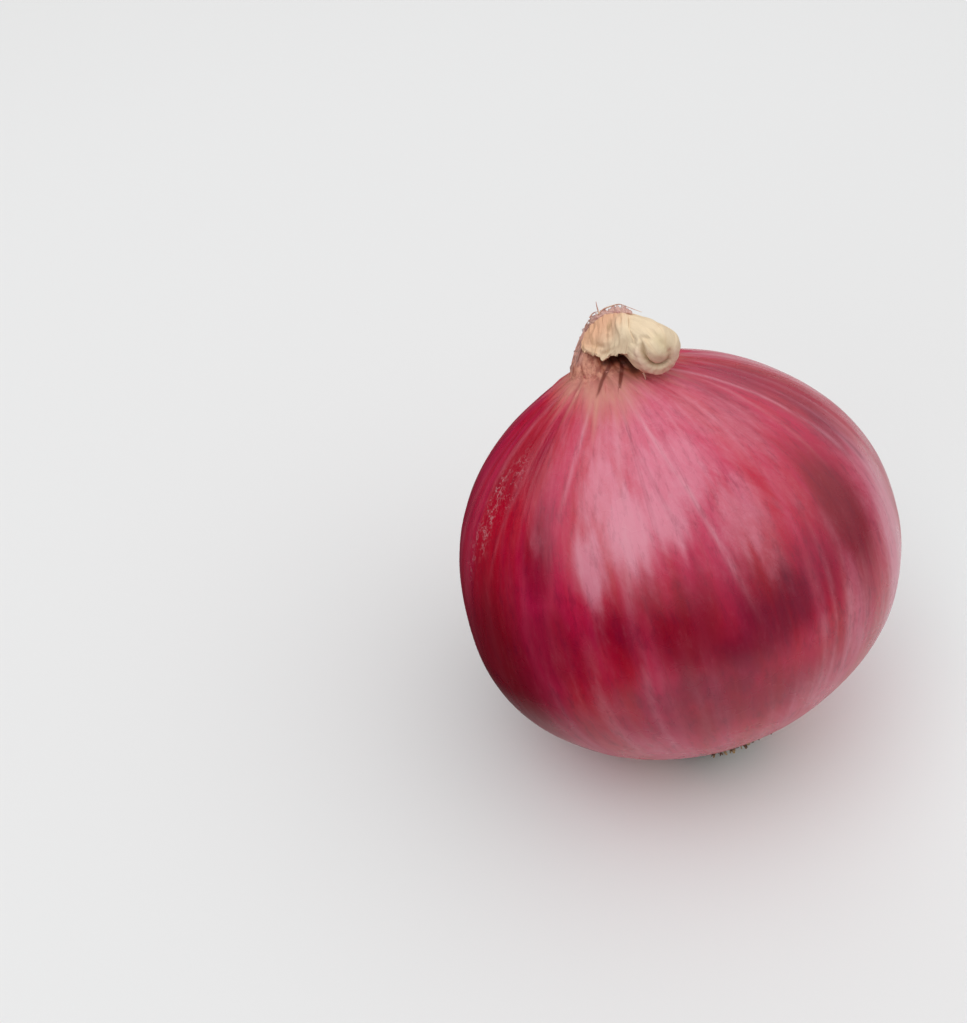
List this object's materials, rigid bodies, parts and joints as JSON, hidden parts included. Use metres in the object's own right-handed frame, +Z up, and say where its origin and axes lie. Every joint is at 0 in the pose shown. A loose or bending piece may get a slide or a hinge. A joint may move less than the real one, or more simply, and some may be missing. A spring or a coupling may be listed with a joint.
{
  "type": "onion",
  "caption": "Whole red onion resting on a small flat spot, a round bulb in dry skin with a folded papery neck and a tuft of short dry roots",
  "frame": {"origin": "middle of the flat spot that the bulb rests on", "axes": "+Z up from the flat spot; the neck leans over towards -X and +Y, and the roots point down towards +X and -Y; the picture was taken from -Y, above"},
  "size_m": [0.0657, 0.0662, 0.0673],
  "materials": {
    "onion_skin": "thin dry skin with a soft sheen",
    "dry_neck": "dry papery leaf",
    "dry_roots": "dry fibrous"
  },
  "bodies": {
    "root": {"bulb": "onion_skin", "neck": "dry_neck", "root_tuft": "dry_roots"}
  },
  "joints": []
}
